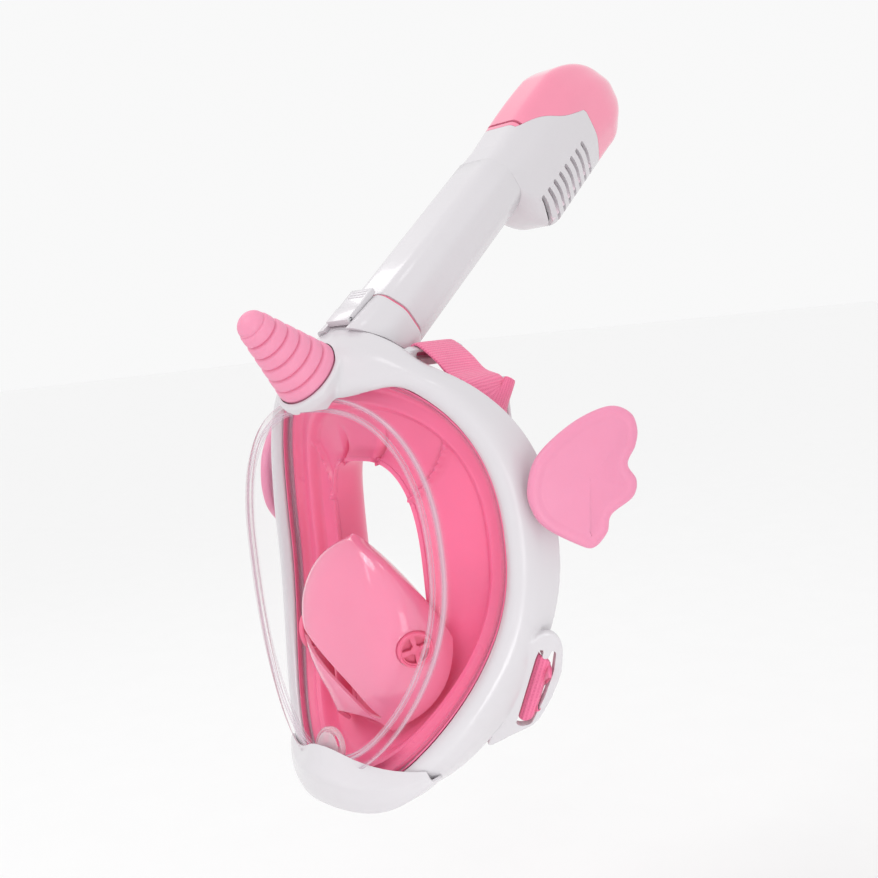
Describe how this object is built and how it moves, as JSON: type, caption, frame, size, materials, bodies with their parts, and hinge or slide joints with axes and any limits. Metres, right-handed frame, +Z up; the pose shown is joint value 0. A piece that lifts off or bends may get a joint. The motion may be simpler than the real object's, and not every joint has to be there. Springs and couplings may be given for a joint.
{
  "type": "full face snorkel mask",
  "caption": "Child's full face snorkel mask with a clear visor, a stepped horn, wing-shaped ears and a slanted dry-top tube held by head straps.",
  "frame": {"origin": "middle of the visor ring's plane of symmetry, in front of the wearer's face, level with the centre of the ring", "axes": "+Z up the mask, -Y out through the visor, +Y towards the wearer, +X the side seen on the right from the front"},
  "size_m": [0.2288, 0.2776, 0.3423],
  "materials": {
    "white_plastic": "moulded, satin gloss",
    "clear_lens": "clear polycarbonate, polished",
    "clear_seat": "frosted clear",
    "skirt_silicone": "soft liquid silicone, satin",
    "pocket_silicone": "translucent silicone, glossy",
    "pink_silicone": "soft silicone",
    "horn_silicone": "matt silicone",
    "ear_silicone": "satin silicone",
    "cap_plastic": "moulded, glossy",
    "seat_rubber": "soft rubber",
    "webbing": "woven elastic webbing",
    "steel": "drawn pin"
  },
  "bodies": {
    "mask": {"chin_cover": "white_plastic", "ear_left": "ear_silicone", "ear_right": "ear_silicone", "ear_stud_left": "white_plastic", "ear_stud_right": "white_plastic", "face_skirt": "skirt_silicone", "front_frame": "white_plastic", "horn": "horn_silicone", "horn_stud": "white_plastic", "inhale_seat_left": "pink_silicone", "inhale_seat_right": "pink_silicone", "latch_pin": "steel", "lens": "clear_lens", "lower_strap": "webbing", "nose_pocket": "pocket_silicone", "purge_seat": "clear_seat", "snorkel_socket": "white_plastic", "upper_strap": "webbing"},
    "snorkel": {"snorkel_tube": "white_plastic", "socket_gasket": "pink_silicone", "air_divider": "white_plastic", "vent_housing": "white_plastic", "top_cap": "cap_plastic", "float_seat": "seat_rubber", "float_shelf": "white_plastic"},
    "float": {"float_body": "white_plastic"},
    "latch": {"snorkel_latch": "white_plastic"},
    "inhale_flap_left": {"inhale_flap_left": "pink_silicone"},
    "inhale_flap_right": {"inhale_flap_right": "pink_silicone"},
    "purge_flap": {"purge_flap": "pink_silicone"},
    "slider_upper_left": {"slider_upper_left": "white_plastic"},
    "slider_upper_right": {"slider_upper_right": "white_plastic"},
    "slider_lower_left": {"slider_lower_left": "white_plastic"},
    "slider_lower_right": {"slider_lower_right": "white_plastic"}
  },
  "joints": [
    {"name": "snorkel_release", "type": "slide", "parent": "mask", "child": "snorkel", "axis": [0, 0.7923, 0.6101], "range_m": [0, 0.024]},
    {"name": "latch_pivot", "type": "hinge", "parent": "mask", "child": "latch", "pos_m": [0, 0.01932, 0.10197], "axis": [1, 0, 0], "range_deg": [0, 20], "stiffness_Nm_per_rad": 0.01},
    {"name": "float_lift", "type": "slide", "parent": "snorkel", "child": "float", "axis": [0, 0.7923, 0.6101], "range_m": [0, 0.0135]},
    {"name": "inhale_flap_left_lift", "type": "slide", "parent": "mask", "child": "inhale_flap_left", "axis": [0.8616, 0.493, 0.1208], "range_m": [0, 0.001], "stiffness_N_per_m": 20},
    {"name": "inhale_flap_right_lift", "type": "slide", "parent": "mask", "child": "inhale_flap_right", "axis": [-0.8616, 0.493, 0.1208], "range_m": [0, 0.001], "stiffness_N_per_m": 20},
    {"name": "purge_flap_lift", "type": "slide", "parent": "mask", "child": "purge_flap", "axis": [0, -0.9766, 0.2149], "range_m": [0, 0.0004], "stiffness_N_per_m": 20},
    {"name": "slider_upper_left_slide", "type": "slide", "parent": "mask", "child": "slider_upper_left", "axis": [0.6963, 0.6963, -0.1741], "range_m": [-0.005, 0.005]},
    {"name": "slider_lower_left_slide", "type": "slide", "parent": "mask", "child": "slider_lower_left", "axis": [0.7263, 0.6718, -0.1453], "range_m": [-0.005, 0.005]},
    {"name": "slider_upper_right_slide", "type": "slide", "parent": "mask", "child": "slider_upper_right", "axis": [-0.6963, 0.6963, -0.1741], "range_m": [-0.005, 0.005]},
    {"name": "slider_lower_right_slide", "type": "slide", "parent": "mask", "child": "slider_lower_right", "axis": [-0.7263, 0.6718, -0.1453], "range_m": [-0.005, 0.005]}
  ]
}
